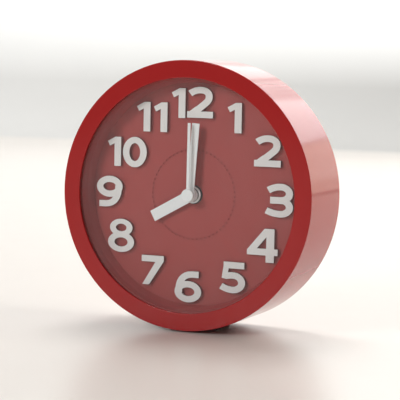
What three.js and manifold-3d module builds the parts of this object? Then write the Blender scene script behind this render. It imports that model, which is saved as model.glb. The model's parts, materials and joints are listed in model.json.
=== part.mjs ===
// A round desk alarm clock with raised numerals and a quartz alarm movement. Millimetres, +Z up.
// The dial faces -Y. The origin is on the resting plane, under the middle of the clock's depth.
//
// Everything is drawn in the clock's own frame: x to the right and y up as the dial is read,
// z towards the reader, and z = 0 at the front face of the bezel. A "depth" is a distance
// behind that face. One group at the end stands the clock up.
import * as THREE from 'three';
import { mergeVertices } from 'three/addons/utils/BufferGeometryUtils.js';
import Module from 'manifold-3d';

const wasm = await Module();
wasm.setup();

// ---------------------------------------------------------------- driving dimensions

const CASE_RADIUS = 64.6;          // outside of the drum
const CASE_DEPTH = 39;             // bezel face to the rear edge of the drum
const WALL = 2.5;                  // drum wall
const OPENING_RADIUS = 56.2;       // round window in the bezel
const GAP = 0.3;                   // between pieces that touch
const FOOT_LIFT = 0.6;             // feet below the lowest point of the drum

const BEZEL_LIP = 1.2;             // thickness of the bezel at the window
const LENS_THICKNESS = 1.2;
const DIAL_DEPTH = 11.6;           // front of the dial plate
const DIAL_THICKNESS = 1.2;
const DIAL_SIGHT_RADIUS = 53.6;    // dial seen inside the dial ring
const NUMERAL_RISE = 2;            // numeral faces above the dial

const MINUTE_ANGLE = 4.2;          // degrees clockwise from 12: about 8:00:42
const HOUR_ANGLE = 241.2;          // set just under a degree fast
const SECOND_ANGLE = 0.4;
const ALARM_ANGLE = 3;

const MOVEMENT_SIZE = 56;          // square quartz movement
const MOVEMENT_FRONT = DIAL_DEPTH + DIAL_THICKNESS + GAP;
const PLATE = 1.4;                 // movement's front plate and back cover
const MOVEMENT_BACK = 29;

const COVER_FRONT = 36.4;          // rear cover plate
const COVER_BACK = 38.2;
const KNOB_BACK = 43;              // rearmost point of the setting knobs

const CELL_RADIUS = 7.1;           // AA cell
const CELL_LENGTH = 49.5;          // without its button
const CELL_DEPTH = 29.2;           // its axis, behind the bezel face
const CELL_HEIGHT = -41;           // its axis, below the dial centre

const WALL_RADIUS = CASE_RADIUS - WALL;
const SEGMENTS = 72;               // round the drum

// ---------------------------------------------------------------- materials

const surface = (color, roughness, metalness) => (
  new THREE.MeshStandardMaterial({ color, roughness, metalness })
);
const plastic = (color, roughness = 0.45) => surface(color, roughness, 0);
const metal = (color, roughness = 0.35) => surface(color, roughness, 1);

const RED = 0x992d2c;
const DIAL_RED = 0x96504b;
const WHITE = 0xe3e0db;
const CLEAR = 0xf4f6f6;
const MOVEMENT_GREY = 0x3a3a3c;
const NATURAL = 0xe9e6dc;          // unpigmented gear plastic
const GREY = 0x8a8f94;
const BLACK = 0x1d1d1f;
const STEEL = 0xb8bcc0;
const COPPER = 0xb0643a;
const BOARD_GREEN = 0x2f5d3a;
const CELL_GREEN = 0x3c4a44;
const LEAD_RED = 0xb02018;
const RUBBER = 0x2a2426;

// ---------------------------------------------------------------- solids

const toRadians = THREE.MathUtils.degToRad;

/** The point at a radius and an angle in degrees, counted anticlockwise from +x. */
function polar(radius, degrees) {
  return [radius * Math.cos(toRadians(degrees)), radius * Math.sin(toRadians(degrees))];
}

/** A manifold solid from a closed three.js geometry. */
function solid(geometry) {
  const bare = geometry.clone();
  bare.deleteAttribute('normal');
  bare.deleteAttribute('uv');
  const merged = mergeVertices(bare, 1e-5);
  return new wasm.Manifold(new wasm.Mesh({
    numProp: 3,
    vertProperties: new Float32Array(merged.attributes.position.array),
    triVerts: new Uint32Array(merged.index.array),
  }));
}

/** The three.js geometry of a manifold solid. */
function geometryOf(manifold) {
  const mesh = manifold.getMesh();
  const geometry = new THREE.BufferGeometry();
  geometry.setAttribute('position', new THREE.BufferAttribute(new Float32Array(mesh.vertProperties), 3));
  geometry.setIndex(new THREE.BufferAttribute(new Uint32Array(mesh.triVerts), 1));
  const faceted = geometry.toNonIndexed();
  faceted.computeVertexNormals();
  return faceted;
}

const join = (first, ...rest) => (
  geometryOf(rest.reduce((sum, part) => sum.add(solid(part)), solid(first)))
);
const cut = (first, ...rest) => (
  geometryOf(rest.reduce((sum, part) => sum.subtract(solid(part)), solid(first)))
);

/** A flat shape made solid between two depths. */
function slab(shape, front, back, curveSegments = 12) {
  const depth = back - front;
  const geometry = new THREE.ExtrudeGeometry(shape, { depth, bevelEnabled: false, curveSegments });
  return geometry.translate(0, 0, -back);
}

/**
 * A ring or disc turned about the clock's axis from [radius, depth] points, listed from the front
 * outwards and back. A profile that doesn't start on the axis closes on itself.
 */
function turned(profile, segments = SEGMENTS) {
  const points = profile.map(([radius, depth]) => new THREE.Vector2(radius, -depth)).reverse();
  if (points[0].x > 0) points.push(points[0].clone());
  return new THREE.LatheGeometry(points, segments).rotateX(Math.PI / 2);
}

/** A cylinder along the clock's axis at (x, y), between two depths. */
function rod(x, y, radius, front, back, segments = 16) {
  const geometry = new THREE.CylinderGeometry(radius, radius, back - front, segments);
  return geometry.rotateX(Math.PI / 2).translate(x, y, -(front + back) / 2);
}

/** A box between two depths, given by its middle and size in the dial plane. */
function block(x, y, width, height, front, back) {
  return new THREE.BoxGeometry(width, height, back - front).translate(x, y, -(front + back) / 2);
}

function polygon(points) {
  return new THREE.Shape(points.map(([x, y]) => new THREE.Vector2(x, y)));
}

/** A round outline or hole with straight sides, about (x, y). */
function circle(radius, x = 0, y = 0, sides = 12) {
  const points = [];
  for (let i = 0; i < sides; i += 1) {
    const [dx, dy] = polar(radius, (i + 0.5) * 360 / sides);
    points.push([x + dx, y + dy]);
  }
  return polygon(points);
}

/** A flat ring about the clock's axis, between two depths. */
function washer(outer, inner, front, back, sides) {
  const shape = circle(outer, 0, 0, sides);
  shape.holes.push(circle(inner, 0, 0, 24));
  return slab(shape, front, back);
}

const clock = new THREE.Group();

function add(name, geometry, material) {
  const mesh = new THREE.Mesh(geometry, material);
  mesh.name = name;
  clock.add(mesh);
  return mesh;
}

// ---------------------------------------------------------------- case

const LENS_FRONT = BEZEL_LIP + GAP;
const LENS_BACK = LENS_FRONT + LENS_THICKNESS;
const LENS_RADIUS = OPENING_RADIUS + 2.4;
const RING_FRONT = LENS_BACK + GAP;
const RING_BACK = DIAL_DEPTH - GAP;

const BOSS = { radius: 2.6, pilot: 0.8, pilotLength: 9, sides: 12 };
const SCREW_CIRCLE = WALL_RADIUS - 2.2;
const SCREW_ANGLES = [45, 135, 225, 315];
const screwPoints = SCREW_ANGLES.map((angle) => polar(SCREW_CIRCLE, angle));

/** Cylinders that let a flange pass the screw bosses. */
function bossNotches(front, back) {
  return screwPoints.map(([x, y]) => rod(x, y, BOSS.radius + GAP, front, back, BOSS.sides));
}

function frontCase() {
  const outerEdge = 0.4;                             // chamfers round the bezel's face
  const innerEdge = 0.25;
  const seat = LENS_RADIUS + GAP;                    // recess for the lens and the dial ring
  const bezelBack = 2.6;
  const drum = turned([
    [OPENING_RADIUS, innerEdge],
    [OPENING_RADIUS + innerEdge, 0],
    [CASE_RADIUS - outerEdge, 0],
    [CASE_RADIUS, outerEdge],
    [CASE_RADIUS, CASE_DEPTH],
    [WALL_RADIUS, CASE_DEPTH],
    [WALL_RADIUS, bezelBack],
    [seat, bezelBack],
    [seat, BEZEL_LIP],
    [OPENING_RADIUS, BEZEL_LIP],
  ]);
  const root = bezelBack - 0.8;                      // the bosses start inside the bezel
  const back = COVER_FRONT - GAP;
  const bosses = screwPoints.map(([x, y]) => rod(x, y, BOSS.radius, root, back, BOSS.sides));
  const pilots = screwPoints.map(([x, y]) => rod(x, y, BOSS.pilot, back - BOSS.pilotLength, back + 1, 8));
  return cut(join(drum, ...bosses), ...pilots);
}

function lens() {
  const disc = turned([[0, LENS_FRONT], [LENS_RADIUS, LENS_FRONT], [LENS_RADIUS, LENS_BACK], [0, LENS_BACK]]);
  return cut(disc, ...bossNotches(LENS_FRONT - 1, LENS_BACK + 1));
}

/** The red wall between the window and the dial: nearly straight at first, then a cone. */
function dialRing() {
  const thickness = 1.3;
  const mouth = OPENING_RADIUS - 0.1;
  const waist = OPENING_RADIUS - 0.7;
  const bend = RING_FRONT + 4.2;
  const flangeBack = RING_FRONT + 1;
  const ring = turned([
    [mouth, RING_FRONT],
    [LENS_RADIUS, RING_FRONT],
    [LENS_RADIUS, flangeBack],
    [OPENING_RADIUS + thickness, flangeBack],
    [DIAL_SIGHT_RADIUS + thickness, RING_BACK],
    [DIAL_SIGHT_RADIUS, RING_BACK],
    [waist, bend],
  ]);
  return cut(ring, ...bossNotches(RING_FRONT - 1, RING_BACK));
}

const CENTRE_HOLE = 4.6;
const DIAL_RADIUS = DIAL_SIGHT_RADIUS + 1.6;

function dialPlate() {
  return washer(DIAL_RADIUS, CENTRE_HOLE, DIAL_DEPTH, DIAL_DEPTH + DIAL_THICKNESS, SEGMENTS);
}

const FOOT = { x: 9, width: 6, front: 14, back: 31 };

/** A foot on one side (-1 or 1): its top follows the drum and its sole is flat on the resting plane. */
function foot(side) {
  const fit = CASE_RADIUS + GAP;
  const sole = -(CASE_RADIUS + FOOT_LIFT);
  const inner = FOOT.x - FOOT.width / 2;
  const steps = 4;
  const points = [[inner, sole], [inner + FOOT.width, sole]];
  for (let i = steps; i >= 0; i -= 1) {
    const x = inner + FOOT.width * i / steps;
    points.push([x, -Math.sqrt(fit ** 2 - x ** 2)]);
  }
  return slab(polygon(points.map(([x, y]) => [side * x, y])), FOOT.front, FOOT.back);
}

const CELL_BAY = { width: 56, height: 16, wall: 3, floor: 1.6, front: 21.4 };
const DOOR = { width: 60, height: 20, ribX: 20, ribPitch: 2 };
const SWITCH = { x: 0, y: 20, travel: 5, stemWidth: 3, stemHeight: 2.4 };
const BUZZER = { x: 0, y: 40, radius: 10, front: 31.5 };
const SOUND_SLOT = { circle: 8.5, pitch: 3, width: 1.2 };
const SCREW_HOLE = 1.2;

/** A rectangle as a shape or, turned the other way round, as a hole. */
function rectangle(x, y, width, height) {
  const [w, h] = [width / 2, height / 2];
  return polygon([[x - w, y - h], [x + w, y - h], [x + w, y + h], [x - w, y + h]]);
}

/** Slots in front of the buzzer, each as long as their circle allows. */
function soundSlots() {
  return [-2, -1, 0, 1, 2].map((i) => {
    const offset = i * SOUND_SLOT.pitch;
    const length = 2 * Math.sqrt(SOUND_SLOT.circle ** 2 - offset ** 2);
    return rectangle(BUZZER.x, BUZZER.y + offset, length, SOUND_SLOT.width);
  });
}

/** The open box behind the door that holds the cell. */
function cellBay() {
  const { width, height, wall, floor, front } = CELL_BAY;
  const outline = rectangle(0, CELL_HEIGHT, width + 2 * wall, height + 2 * wall);
  const bottom = slab(outline, front - floor, front + GAP);
  outline.holes.push(rectangle(0, CELL_HEIGHT, width, height));
  return join(bottom, slab(outline, front, COVER_FRONT + 0.6));
}

function rearCover() {
  const plate = circle(WALL_RADIUS - GAP, 0, 0, SEGMENTS);
  const switchSlot = SWITCH.stemWidth + SWITCH.travel + 1;
  plate.holes.push(
    rectangle(0, CELL_HEIGHT, DOOR.width, DOOR.height),
    rectangle(SWITCH.x, SWITCH.y, switchSlot, SWITCH.stemHeight + 1),
    ...[TIME_KNOB, ALARM_KNOB].map((point) => circle(STEM_RADIUS + 0.5, ...point, 20)),
    ...screwPoints.map((point) => circle(SCREW_HOLE, ...point, 10)),
    ...soundSlots(),
  );
  return join(slab(plate, COVER_FRONT, COVER_BACK), cellBay());
}

function batteryDoor() {
  const panel = rectangle(0, CELL_HEIGHT, DOOR.width - 2 * GAP, DOOR.height - 2 * GAP);
  const ribs = [-1.5, -0.5, 0.5, 1.5].map((i) => (
    block(DOOR.ribX + i * DOOR.ribPitch, CELL_HEIGHT, 0.8, 10, COVER_BACK - 0.4, COVER_BACK + 0.6)
  ));
  return join(slab(panel, COVER_FRONT + 0.6 + GAP, COVER_BACK), ...ribs);
}

/** A cross-head screw that holds the rear cover to a boss. */
function caseScrew([x, y]) {
  const head = { radius: 1.9, rim: 0.7, height: 1.3, slot: 2.2, slotDepth: 1.1 };
  const seat = COVER_BACK + GAP;
  const top = seat + head.height;
  const shank = rod(0, 0, BOSS.pilot - 0.15, seat - 9, seat + 0.5, 10);
  const dome = turned([
    [0, seat], [head.radius, seat], [head.radius, seat + head.rim], [head.slot / 2 + 0.1, top], [0, top],
  ], 12);
  const across = block(0, 0, head.slot, 0.5, top - head.slotDepth, top + 1);
  const upright = block(0, 0, 0.5, head.slot, top - head.slotDepth, top + 1);
  return cut(join(dome, shank), across, upright).translate(x, y, 0);
}

// ---------------------------------------------------------------- numerals

const PEN = { across: 1.8, along: 1.55 };            // half the width of upright and of level strokes
const NUMERAL_FACE = DIAL_DEPTH - NUMERAL_RISE;
const NUMERAL_BACK = DIAL_DEPTH - GAP;

const numeralSlab = (shape) => slab(shape, NUMERAL_FACE, NUMERAL_BACK, 14);

/** The solid left by a pen with square ends that follows a path; upright strokes are the widest. */
function stroke(path, divisions = 8) {
  const points = path.getPoints(divisions);
  const left = [];
  const right = [];
  points.forEach((point, i) => {
    const before = points[Math.max(i - 1, 0)];
    const after = points[Math.min(i + 1, points.length - 1)];
    const into = point.clone().sub(before).normalize();
    const out = after.clone().sub(point).normalize();
    const along = into.add(out).normalize();
    left.push([point.x - along.y * PEN.across, point.y + along.x * PEN.along]);
    right.unshift([point.x + along.y * PEN.across, point.y - along.x * PEN.along]);
  });
  return numeralSlab(polygon([...left, ...right]));
}

/** An oval ring, drawn by a pen of that kind, from its middle and its outer half sizes. */
function oval(x, y, halfWidth, halfHeight, { across, along } = PEN) {
  const shape = new THREE.Shape().absellipse(x, y, halfWidth, halfHeight, 0, 2 * Math.PI, false, 0);
  const hole = new THREE.Path();
  hole.absellipse(x, y, halfWidth - 2 * across, halfHeight - 2 * along, 0, 2 * Math.PI, true, 0);
  shape.holes.push(hole);
  return numeralSlab(shape);
}

const bar = (left, bottom, right, top) => (
  numeralSlab(rectangle((left + right) / 2, (bottom + top) / 2, right - left, top - bottom))
);

const sheet = (...points) => numeralSlab(polygon(points));

function one() {
  return sheet([7.4, 0], [7.4, 14.4], [4.2, 14.4], [0, 12.2], [1.3, 9.8], [3.8, 11.1], [3.8, 0]);
}

function two() {
  const neck = new THREE.Path().moveTo(1.5, 11.5).bezierCurveTo(3, 12.7, 4.9, 13.3, 6.8, 13.3);
  neck.bezierCurveTo(9.7, 13.3, 11.4, 12.1, 11.4, 10.2);
  neck.bezierCurveTo(11.4, 8.4, 10.1, 7.5, 8.6, 6.3).lineTo(3, 2);
  const corner = sheet([0, 1], [4.6, 1], [4.6, 5.5], [0, 2.2]);
  return join(stroke(neck), bar(0, 0, 13.5, 3.1), corner);
}

function three() {
  const upper = new THREE.Path().moveTo(1.6, 12.6).quadraticCurveTo(4.6, 14.35, 7.6, 14.35);
  upper.absellipse(7.9, 11.2, 4.4, 3.15, Math.PI / 2, -Math.PI / 2, true);
  const lower = new THREE.Path().moveTo(7.9, 8);
  lower.absellipse(7.9, 4.8, 4.5, 3.25, Math.PI / 2, -Math.PI / 2, true);
  lower.quadraticCurveTo(4, 1.55, 0.7, 3.1);
  const nick = slab(polygon([[15, 9], [12.1, 8.05], [15, 7.1]]), NUMERAL_FACE - 1, NUMERAL_BACK + 1);
  return cut(join(stroke(upper), stroke(lower), bar(2.6, 6.4, 8.6, 9.6)), nick);
}

function four() {
  const shape = polygon([
    [9.6, 0], [13.9, 0], [13.9, 3.4], [15.7, 3.4], [15.7, 6.6], [13.9, 6.6], [13.9, 16.1], [8.9, 16.1],
    [0, 5.7], [0, 3.4], [9.6, 3.4],
  ]);
  shape.holes.push(polygon([[9.8, 6.6], [5.2, 6.6], [9.8, 12]]));
  return numeralSlab(shape);
}

function five() {
  const bowl = new THREE.Path().moveTo(3.2, 8).quadraticCurveTo(5, 8.5, 7, 8.5);
  bowl.absellipse(7, 5, 4.6, 3.5, Math.PI / 2, -Math.PI / 2, true).quadraticCurveTo(3.8, 1.5, 0.9, 3.1);
  const stem = sheet([1.2, 7], [3.9, 6.55], [5, 13], [2.1, 13]);
  return join(stroke(bowl), bar(2.1, 11.8, 12.8, 14.9), stem);
}

function six() {
  const spine = new THREE.Path().moveTo(2.3, 4.6);
  spine.bezierCurveTo(1.8, 9.7, 4.2, 13.7, 9.2, 13.7).lineTo(12.7, 13.7);
  return join(oval(7.1, 5.2, 7.1, 5.2), stroke(spine));
}

function seven() {
  return sheet([0.5, 0], [4.2, 0], [12, 11.8], [12, 14.4], [0, 14.4], [0, 11.3], [7.5, 11.3]);
}

/** Two ovals drawn with a pen that is slimmer along the level strokes. */
function eight() {
  const upper = oval(7.2, 12.1, 6.2, 4.3, { across: 1.65, along: 1.22 });
  const lower = oval(7.2, 5, 7.2, 5, { across: PEN.across, along: 1.38 });
  return join(upper, lower);
}

/** Each digit's size, and its solid with the lower left corner of that size at the origin. */
const DIGITS = {
  0: { width: 13, height: 14.9, make: () => oval(6.5, 7.45, 6.5, 7.45) },
  1: { width: 7.4, height: 14.4, make: one },
  2: { width: 13.5, height: 14.9, make: two },
  3: { width: 14.3, height: 15.9, make: three },
  4: { width: 15.7, height: 16.1, make: four },
  5: { width: 13.4, height: 14.9, make: five },
  6: { width: 14.2, height: 15.2, make: six },
  7: { width: 12, height: 14.4, make: seven },
  8: { width: 14.4, height: 16.4, make: eight },
  9: { width: 14.2, height: 15.2, make: () => six().rotateZ(Math.PI).translate(14.2, 15.2, 0) },
};

// Each numeral, how far its middle is from the dial's middle, how many degrees it is set off its hour,
// and how much higher its right digit stands than its left.
const NUMERALS = [
  ['1', 43.2, -0.4], ['2', 44.7, -0.4], ['3', 44.9, 0.5], ['4', 43, 0.9],
  ['5', 44.2, 0.4], ['6', 44.6, 1.7], ['7', 43, -1.6], ['8', 43.7, 0],
  ['9', 44.5, -0.5], ['10', 40.2, -1.2], ['11', 42.9, -0.9], ['12', 44.2, -1, 0.6],
];
const DIGIT_SPACE = 1;
const WIDE_SPACE = 1.7;                              // between the two ones of the eleven

function addNumerals() {
  for (const [text, radius, offset, rise = 0] of NUMERALS) {
    const [middleX, middleY] = polar(radius, 90 - (30 * Number(text) + offset));
    const space = text === '11' ? WIDE_SPACE : DIGIT_SPACE;
    const digits = [...text];
    const total = digits.reduce((sum, digit) => sum + DIGITS[digit].width, space * (digits.length - 1));
    let x = middleX - total / 2;
    digits.forEach((digit, i) => {
      const { width, height, make } = DIGITS[digit];
      const suffix = digits.length > 1 ? `_${['left', 'right'][i]}` : '';
      const bottom = middleY - height / 2 + rise * (i - 0.5);
      add(`numeral_${text}${suffix}`, make().translate(x, bottom, 0), plastic(WHITE, 0.5));
      x += width + space;
    });
  }
}

// ---------------------------------------------------------------- hands and their tubes

const ARBOR_RADIUS = 0.45;                           // carries the second hand
const CANNON = { outer: 1.25, bore: 0.75 };          // carries the minute hand
const HOUR_TUBE = { outer: 2.1, bore: 1.5 };
const ALARM_TUBE = { outer: 3, bore: 2.35 };
const BUSH = { outer: 4.1, bore: 3.25 };

const HANDS = {
  second: {
    front: 4.3, thickness: 0.4, width: 1.45, length: 34.7, hub: 3.2, bore: ARBOR_RADIUS + 0.2, blind: true,
  },
  minute: { front: 6.9, thickness: 0.5, width: 3.9, length: 34.6, hub: 3.2, bore: CANNON.outer + GAP },
  hour: { front: 8.9, thickness: 0.5, width: 5.5, length: 23.4, hub: 3.2, bore: HOUR_TUBE.outer + GAP },
  alarm: { front: 10.2, thickness: 0.4, width: 1.5, length: 26, hub: 4.2, bore: ALARM_TUBE.outer + GAP },
};

/** A flat bar hand on a round hub, bored for its tube and turned clockwise from 12. */
function hand({ front, thickness, width, length, hub, bore, blind }, angle, ...extras) {
  const back = front + thickness;
  const blade = block(0, length / 2, width, length, front, back);
  const body = join(rod(0, 0, hub, front, back, 24), blade, ...extras);
  const boreFront = blind ? front + thickness / 2 : front - 1;
  return cut(body, rod(0, 0, bore, boreFront, back + 3, 20)).rotateZ(-toRadians(angle));
}

/** The second hand, with the round cap that hides the stack of tubes and the socket behind it. */
function secondHand() {
  const { front, thickness, hub } = HANDS.second;
  const cap = { front: front - 0.6, edge: 0.3, back: front + 0.1 };
  const dome = turned([
    [0, cap.front], [hub - cap.edge, cap.front], [hub, cap.front + cap.edge], [hub, cap.back], [0, cap.back],
  ], 24);
  const socket = rod(0, 0, 1.2, front + thickness / 2, front + 1.7);
  return hand(HANDS.second, SECOND_ANGLE, dome, socket);
}

/** The minute hand, with its collar towards the hour hand. */
function minuteHand() {
  const { front, thickness } = HANDS.minute;
  return hand(HANDS.minute, MINUTE_ANGLE, rod(0, 0, 2.3, front + thickness / 2, HANDS.hour.front - 0.4, 20));
}

// ---------------------------------------------------------------- gears

/** The outline of a gear with straight-sided teeth. A tooth is centred at the phase, in radians. */
function gearShape({ teeth, module }, phase) {
  const pitchRadius = teeth * module / 2;
  const root = pitchRadius - 1.1 * module;
  const tip = pitchRadius + 0.75 * module;
  const pitch = 2 * Math.PI / teeth;
  const rootHalf = 0.27;                             // half a tooth's width, as a share of the pitch
  const tipHalf = 0.1;
  const outline = [];
  for (let i = 0; i < teeth; i += 1) {
    for (const [radius, offset] of [[root, -rootHalf], [tip, -tipHalf], [tip, tipHalf], [root, rootHalf]]) {
      const angle = phase + (i + offset) * pitch;
      outline.push([radius * Math.cos(angle), radius * Math.sin(angle)]);
    }
  }
  return polygon(outline);
}

const distanceOf = (a, b) => a.module * (a.teeth + b.teeth) / 2;

/** The phase that puts a gear's teeth in the spaces of its driver, which lies the other way. */
function meshPhase(driver, driverPhase, driven, direction) {
  const shift = (direction - driverPhase) * driver.teeth / (2 * Math.PI);
  return direction + Math.PI - (0.5 - shift) * 2 * Math.PI / driven.teeth;
}

const gearSlab = (gear, phase, [front, back]) => slab(gearShape(gear, phase), front, back);

// The going train and the motion work; modules follow from the shared centre distances.
const TRAIN_DISTANCE = 10.8;                         // second, third and fifth wheels
const ROTOR_DISTANCE = 5.76;                         // fifth wheel and rotor
const MOTION_DISTANCE = 9;                           // hour and motion wheels
const moduleFor = (distance, a, b) => 2 * distance / (a + b);

const gear = (teeth, module) => ({ teeth, module });
const pair = (wheelTeeth, pinionTeeth, distance) => {
  const module = moduleFor(distance, wheelTeeth, pinionTeeth);
  return [gear(wheelTeeth, module), gear(pinionTeeth, module)];
};

const [CENTRE_WHEEL, THIRD_PINION] = pair(48, 6, TRAIN_DISTANCE);
const [THIRD_WHEEL, SECOND_PINION] = pair(45, 6, TRAIN_DISTANCE);
const [SECOND_WHEEL, FIFTH_PINION] = pair(36, 6, TRAIN_DISTANCE);
const [FIFTH_WHEEL, ROTOR_PINION] = pair(30, 6, ROTOR_DISTANCE);
const [MOTION_WHEEL, CANNON_PINION] = pair(24, 8, MOTION_DISTANCE);
const [HOUR_WHEEL, MOTION_PINION] = pair(24, 6, MOTION_DISTANCE);
const TIME_PINION = gear(8, MOTION_WHEEL.module);
const ALARM_WHEEL = gear(24, 0.6);
const ALARM_IDLER = gear(16, 0.6);
const ALARM_PINION = gear(12, 0.6);

// Depths of the gear layers, from the dial backwards.
const LAYER = {
  alarm: [15, 16],
  hour: [16.6, 17.6],
  motion: [18.2, 19.2],
  centre: [20, 20.8],
  third: [21.6, 22.4],
  second: [23.2, 24],
  fifth: [24.8, 25.6],
};

const directionOf = ([x0, y0], [x1, y1]) => Math.atan2(y1 - y0, x1 - x0);

function step([x, y], distance, direction) {
  return [x + distance * Math.cos(direction), y + distance * Math.sin(direction)];
}

const CENTRE = [0, 0];
const MOTION_DIRECTION = toRadians(120);
const TIME_DIRECTION = toRadians(150);
const THIRD_DIRECTION = toRadians(215);
const FIFTH_DIRECTION = toRadians(320);
const ROTOR_DIRECTION = toRadians(-60);

const MOTION_POINT = step(CENTRE, MOTION_DISTANCE, MOTION_DIRECTION);
const TIME_KNOB = step(MOTION_POINT, distanceOf(MOTION_WHEEL, TIME_PINION), TIME_DIRECTION);
const ALARM_KNOB = [-TIME_KNOB[0], TIME_KNOB[1]];
const THIRD_POINT = step(CENTRE, TRAIN_DISTANCE, THIRD_DIRECTION);
const FIFTH_POINT = step(CENTRE, TRAIN_DISTANCE, FIFTH_DIRECTION);
const ROTOR_POINT = step(FIFTH_POINT, distanceOf(FIFTH_WHEEL, ROTOR_PINION), ROTOR_DIRECTION);

/** The idler's axis, in mesh with both the alarm wheel and the alarm knob's pinion. */
function idlerPoint() {
  const reach = Math.hypot(...ALARM_KNOB);
  const near = distanceOf(ALARM_WHEEL, ALARM_IDLER);
  const far = distanceOf(ALARM_IDLER, ALARM_PINION);
  const corner = Math.acos((near ** 2 + reach ** 2 - far ** 2) / (2 * near * reach));
  return step(CENTRE, near, directionOf(CENTRE, ALARM_KNOB) - corner);
}

const IDLER_POINT = idlerPoint();
const PIVOT = 0.5;                                   // arbors of the train
const STUD = 0.5;                                    // fixed pins that wheels turn on
const ARBOR_ENDS = [MOVEMENT_FRONT + 0.2, MOVEMENT_BACK - 0.2];

function secondWheel() {
  const fifthSide = gearSlab(SECOND_WHEEL, 0, LAYER.second);
  const pinion = gearSlab(SECOND_PINION, SECOND_PINION_PHASE, [LAYER.third[0], LAYER.second[0] + 0.2]);
  const arbor = rod(0, 0, ARBOR_RADIUS, HANDS.second.front + 0.5, ARBOR_ENDS[1], 12);
  return join(arbor, fifthSide, pinion);
}

function centreWheel() {
  const pipe = rod(0, 0, CANNON.outer, HANDS.minute.front - 0.2, LAYER.centre[1], 20);
  const wheel = gearSlab(CENTRE_WHEEL, 0, LAYER.centre);
  const pinion = gearSlab(CANNON_PINION, 0, LAYER.motion);
  return cut(join(pipe, wheel, pinion), rod(0, 0, CANNON.bore, 5, 22, 16));
}

/** A wheel on a tube that passes out through the dial and carries a hand. */
function tubeWheel(tube, gearing, phase, layer, front) {
  const body = join(rod(0, 0, tube.outer, front, layer[1] + 0.2, 24), gearSlab(gearing, phase, layer));
  return cut(body, rod(0, 0, tube.bore, front - 1, layer[1] + 1, 24));
}

/** A wheel and its pinion on one arbor that runs from plate to plate. */
function trainWheel(point, wheel, wheelPhase, wheelLayer, pinion, pinionPhase, pinionLayer) {
  const arbor = rod(0, 0, PIVOT, ...ARBOR_ENDS, 12);
  const gears = [gearSlab(wheel, wheelPhase, wheelLayer), gearSlab(pinion, pinionPhase, pinionLayer)];
  return join(arbor, ...gears).translate(...point, 0);
}

function motionWheel() {
  const wheel = gearSlab(MOTION_WHEEL, MOTION_WHEEL_PHASE, LAYER.motion);
  const pinion = gearSlab(MOTION_PINION, 0, [LAYER.hour[0], LAYER.motion[0] + 0.2]);
  return cut(join(wheel, pinion), rod(0, 0, STUD + 0.2, 14, 22, 12)).translate(...MOTION_POINT, 0);
}

function alarmIdler() {
  const body = gearSlab(ALARM_IDLER, IDLER_PHASE, LAYER.alarm);
  return cut(body, rod(0, 0, STUD + 0.2, 14, 17, 12)).translate(...IDLER_POINT, 0);
}

const MAGNET = { radius: 2.6, front: 19, back: 23 };

function rotor() {
  const magnet = rod(0, 0, MAGNET.radius, MAGNET.front, MAGNET.back, 24);
  const pinion = gearSlab(ROTOR_PINION, ROTOR_PHASE, LAYER.fifth);
  return join(magnet, rod(0, 0, 0.4, ...ARBOR_ENDS, 10), pinion).translate(...ROTOR_POINT, 0);
}

const SECOND_PINION_PHASE = 0;
const MOTION_WHEEL_PHASE = meshPhase(CANNON_PINION, 0, MOTION_WHEEL, MOTION_DIRECTION);
const HOUR_PHASE = meshPhase(MOTION_PINION, 0, HOUR_WHEEL, MOTION_DIRECTION + Math.PI);
const TIME_PHASE = meshPhase(MOTION_WHEEL, MOTION_WHEEL_PHASE, TIME_PINION, TIME_DIRECTION);
const THIRD_PINION_PHASE = meshPhase(CENTRE_WHEEL, 0, THIRD_PINION, THIRD_DIRECTION);
const THIRD_WHEEL_PHASE = meshPhase(SECOND_PINION, SECOND_PINION_PHASE, THIRD_WHEEL, THIRD_DIRECTION);
const FIFTH_PINION_PHASE = meshPhase(SECOND_WHEEL, 0, FIFTH_PINION, FIFTH_DIRECTION);
const ROTOR_PHASE = meshPhase(FIFTH_WHEEL, 0, ROTOR_PINION, ROTOR_DIRECTION);
const IDLER_PHASE = meshPhase(ALARM_WHEEL, 0, ALARM_IDLER, directionOf(CENTRE, IDLER_POINT));
const ALARM_PHASE = meshPhase(ALARM_IDLER, IDLER_PHASE, ALARM_PINION, directionOf(IDLER_POINT, ALARM_KNOB));

// ---------------------------------------------------------------- movement

const SPLIT = 20;                                    // where the movement's two halves meet
const PLATE_BACK = MOVEMENT_FRONT + PLATE;
const ARBOR_HOLE = PIVOT + 0.2;
const SET_ARBOR = 0.8;

function movementWall(front, back) {
  const shape = rectangle(0, 0, MOVEMENT_SIZE, MOVEMENT_SIZE);
  shape.holes.push(rectangle(0, 0, MOVEMENT_SIZE - 2 * PLATE, MOVEMENT_SIZE - 2 * PLATE));
  return slab(shape, front, back);
}

function bearingPlate(front, back) {
  const shape = rectangle(0, 0, MOVEMENT_SIZE, MOVEMENT_SIZE);
  for (const point of [THIRD_POINT, FIFTH_POINT, ROTOR_POINT]) shape.holes.push(circle(ARBOR_HOLE, ...point));
  for (const point of [TIME_KNOB, ALARM_KNOB]) shape.holes.push(circle(SET_ARBOR + 0.2, ...point));
  return { shape, front, back };
}

function movementFrontPlate() {
  const { shape, front, back } = bearingPlate(MOVEMENT_FRONT, PLATE_BACK);
  shape.holes.push(circle(BUSH.bore, 0, 0, 24));
  const bush = washer(BUSH.outer, BUSH.bore, HANDS.alarm.front + 0.8, front + 0.5, 24);
  const motionStud = rod(...MOTION_POINT, STUD, back - 0.5, LAYER.motion[1] + 0.2, 12);
  const idlerStud = rod(...IDLER_POINT, STUD, back - 0.5, LAYER.alarm[1] + 0.3, 12);
  return join(slab(shape, front, back), movementWall(back - 0.5, SPLIT - GAP), bush, motionStud, idlerStud);
}

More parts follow.
